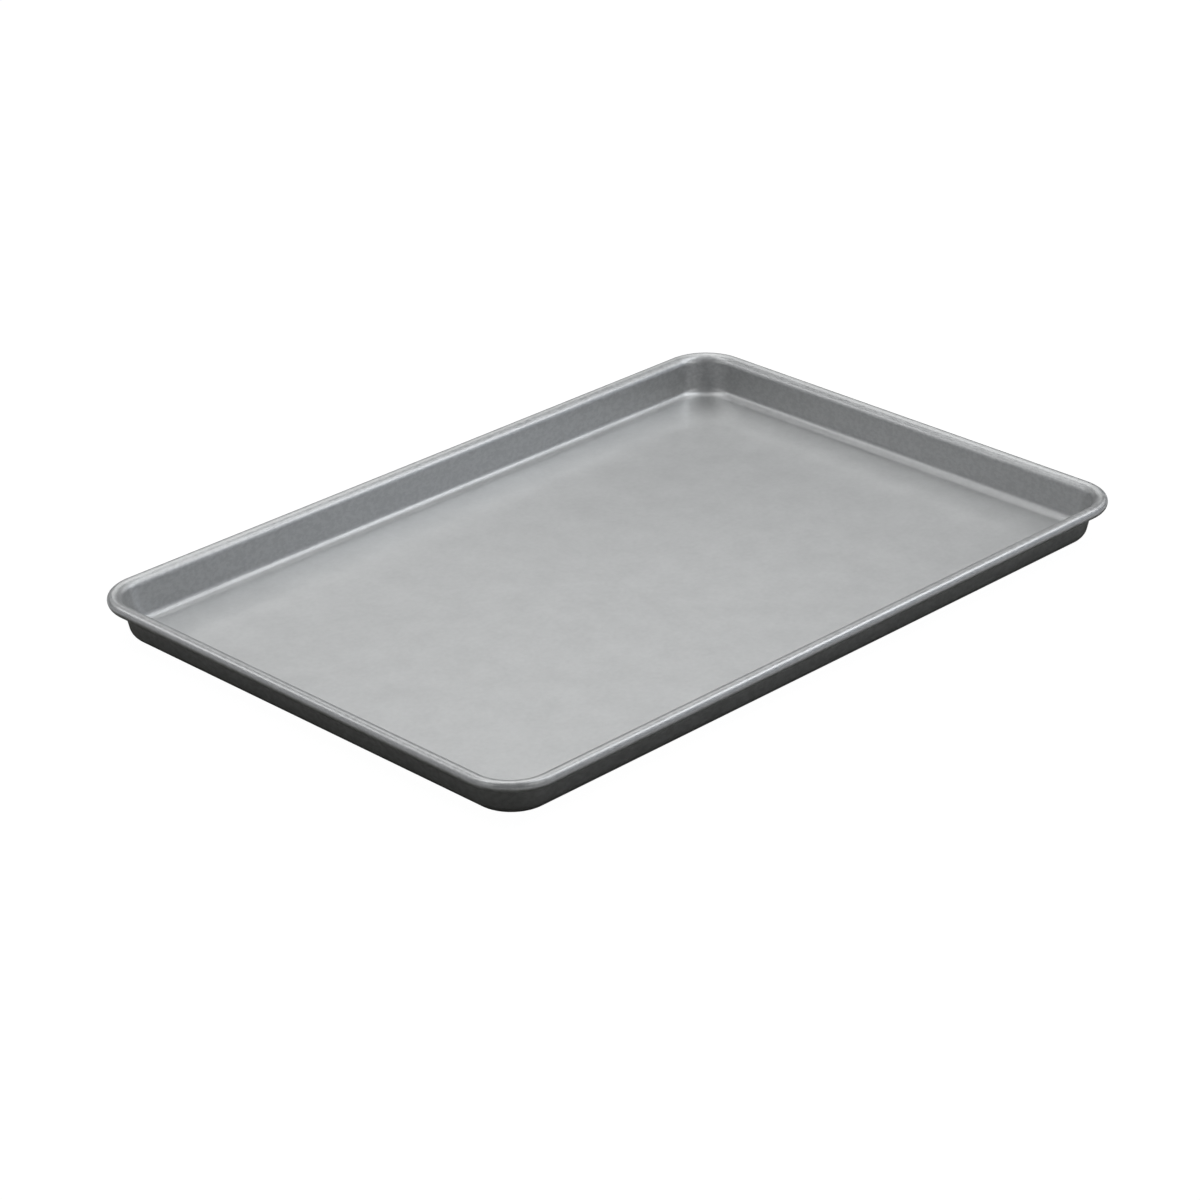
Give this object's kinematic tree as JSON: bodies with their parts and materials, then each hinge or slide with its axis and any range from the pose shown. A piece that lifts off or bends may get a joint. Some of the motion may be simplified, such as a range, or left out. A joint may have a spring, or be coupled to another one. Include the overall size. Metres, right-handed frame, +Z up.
{
  "type": "jelly roll pan",
  "caption": "Shallow oblong baking pan of coated sheet steel, with sloping walls, coved floor edges, rounded corners and a rim rolled over a hidden wire.",
  "frame": {"origin": "middle of the underside, on the surface that the pan stands on", "axes": "+X along the long side, +Y along the short side, +Z up out of the pan"},
  "size_m": [0.394, 0.268, 0.0198],
  "materials": {
    "coated_steel": "satin metallic grey non-stick coating on sheet steel, faintly mottled",
    "wire_steel": "plain drawn steel wire"
  },
  "bodies": {
    "root": {"pan_body": "coated_steel", "rim_wire": "wire_steel"}
  },
  "joints": []
}
